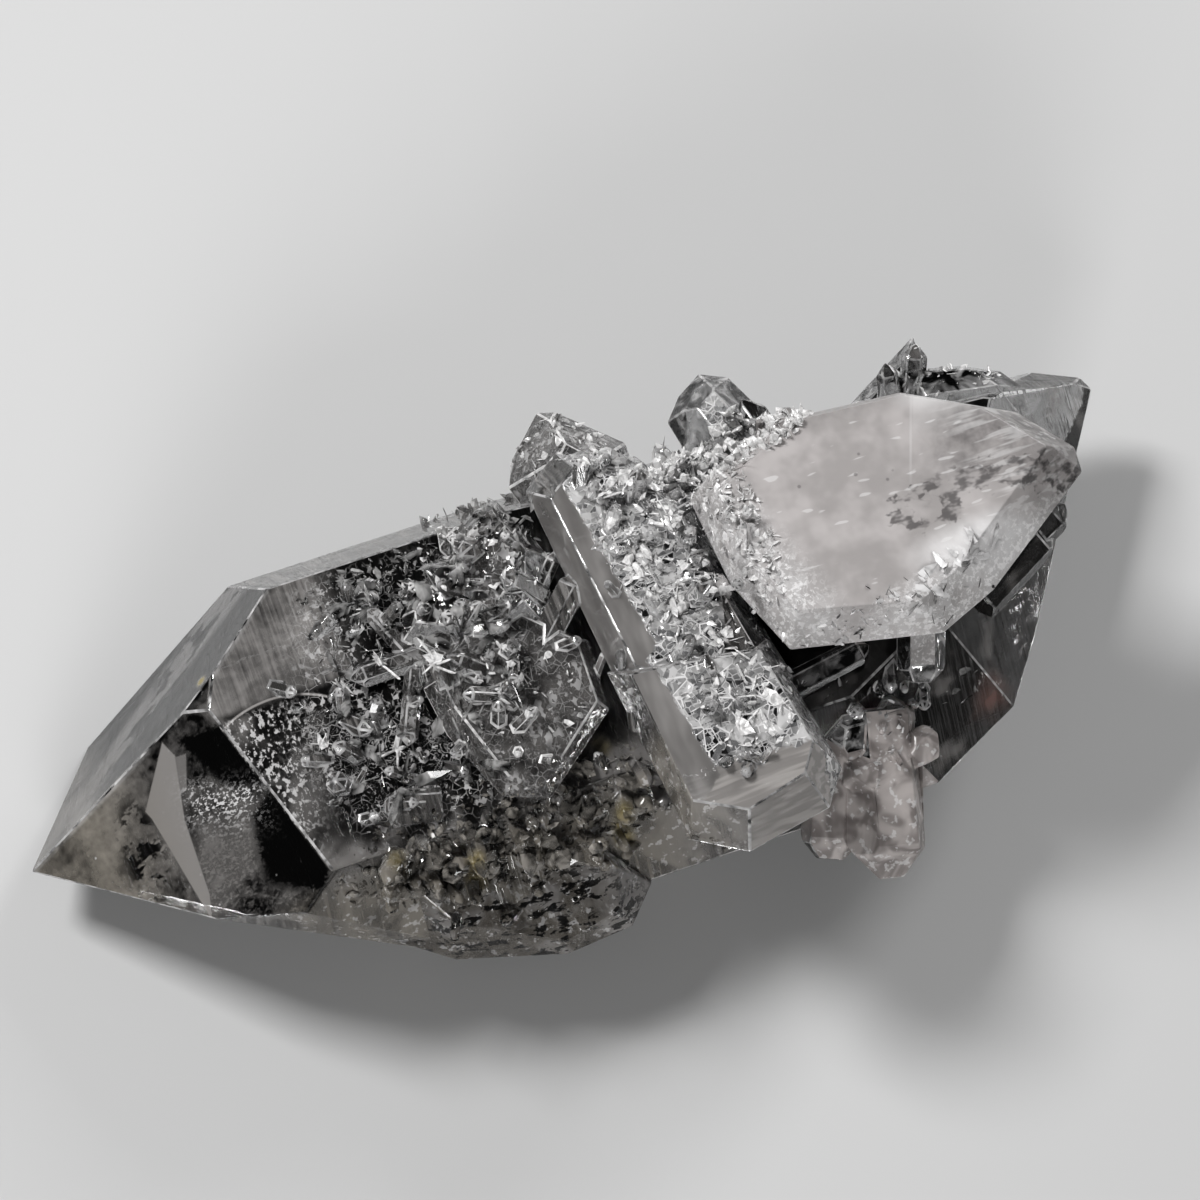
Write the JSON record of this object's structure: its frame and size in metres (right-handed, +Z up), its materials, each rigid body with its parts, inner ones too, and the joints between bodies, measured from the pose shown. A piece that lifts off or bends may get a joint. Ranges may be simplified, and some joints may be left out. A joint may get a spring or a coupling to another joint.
{
  "type": "quartz crystal cluster",
  "caption": "Natural cluster of clear and milky quartz: a long pointed six-sided crystal lying flat, with stubby crystals grown across it and a crust of tiny ones.",
  "frame": {"origin": "under the middle of the bounding box, in the plane of the flat face that the cluster lies on", "axes": "+X along the main crystal, away from its point; +Y away from the side nearest the picture's camera; +Z up from the face it lies on"},
  "size_m": [0.0782, 0.037, 0.0276],
  "materials": {
    "clear_quartz": "clear to milky, glossy natural crystal faces"
  },
  "bodies": {
    "root": {"quartz_cluster": "clear_quartz"}
  },
  "joints": []
}
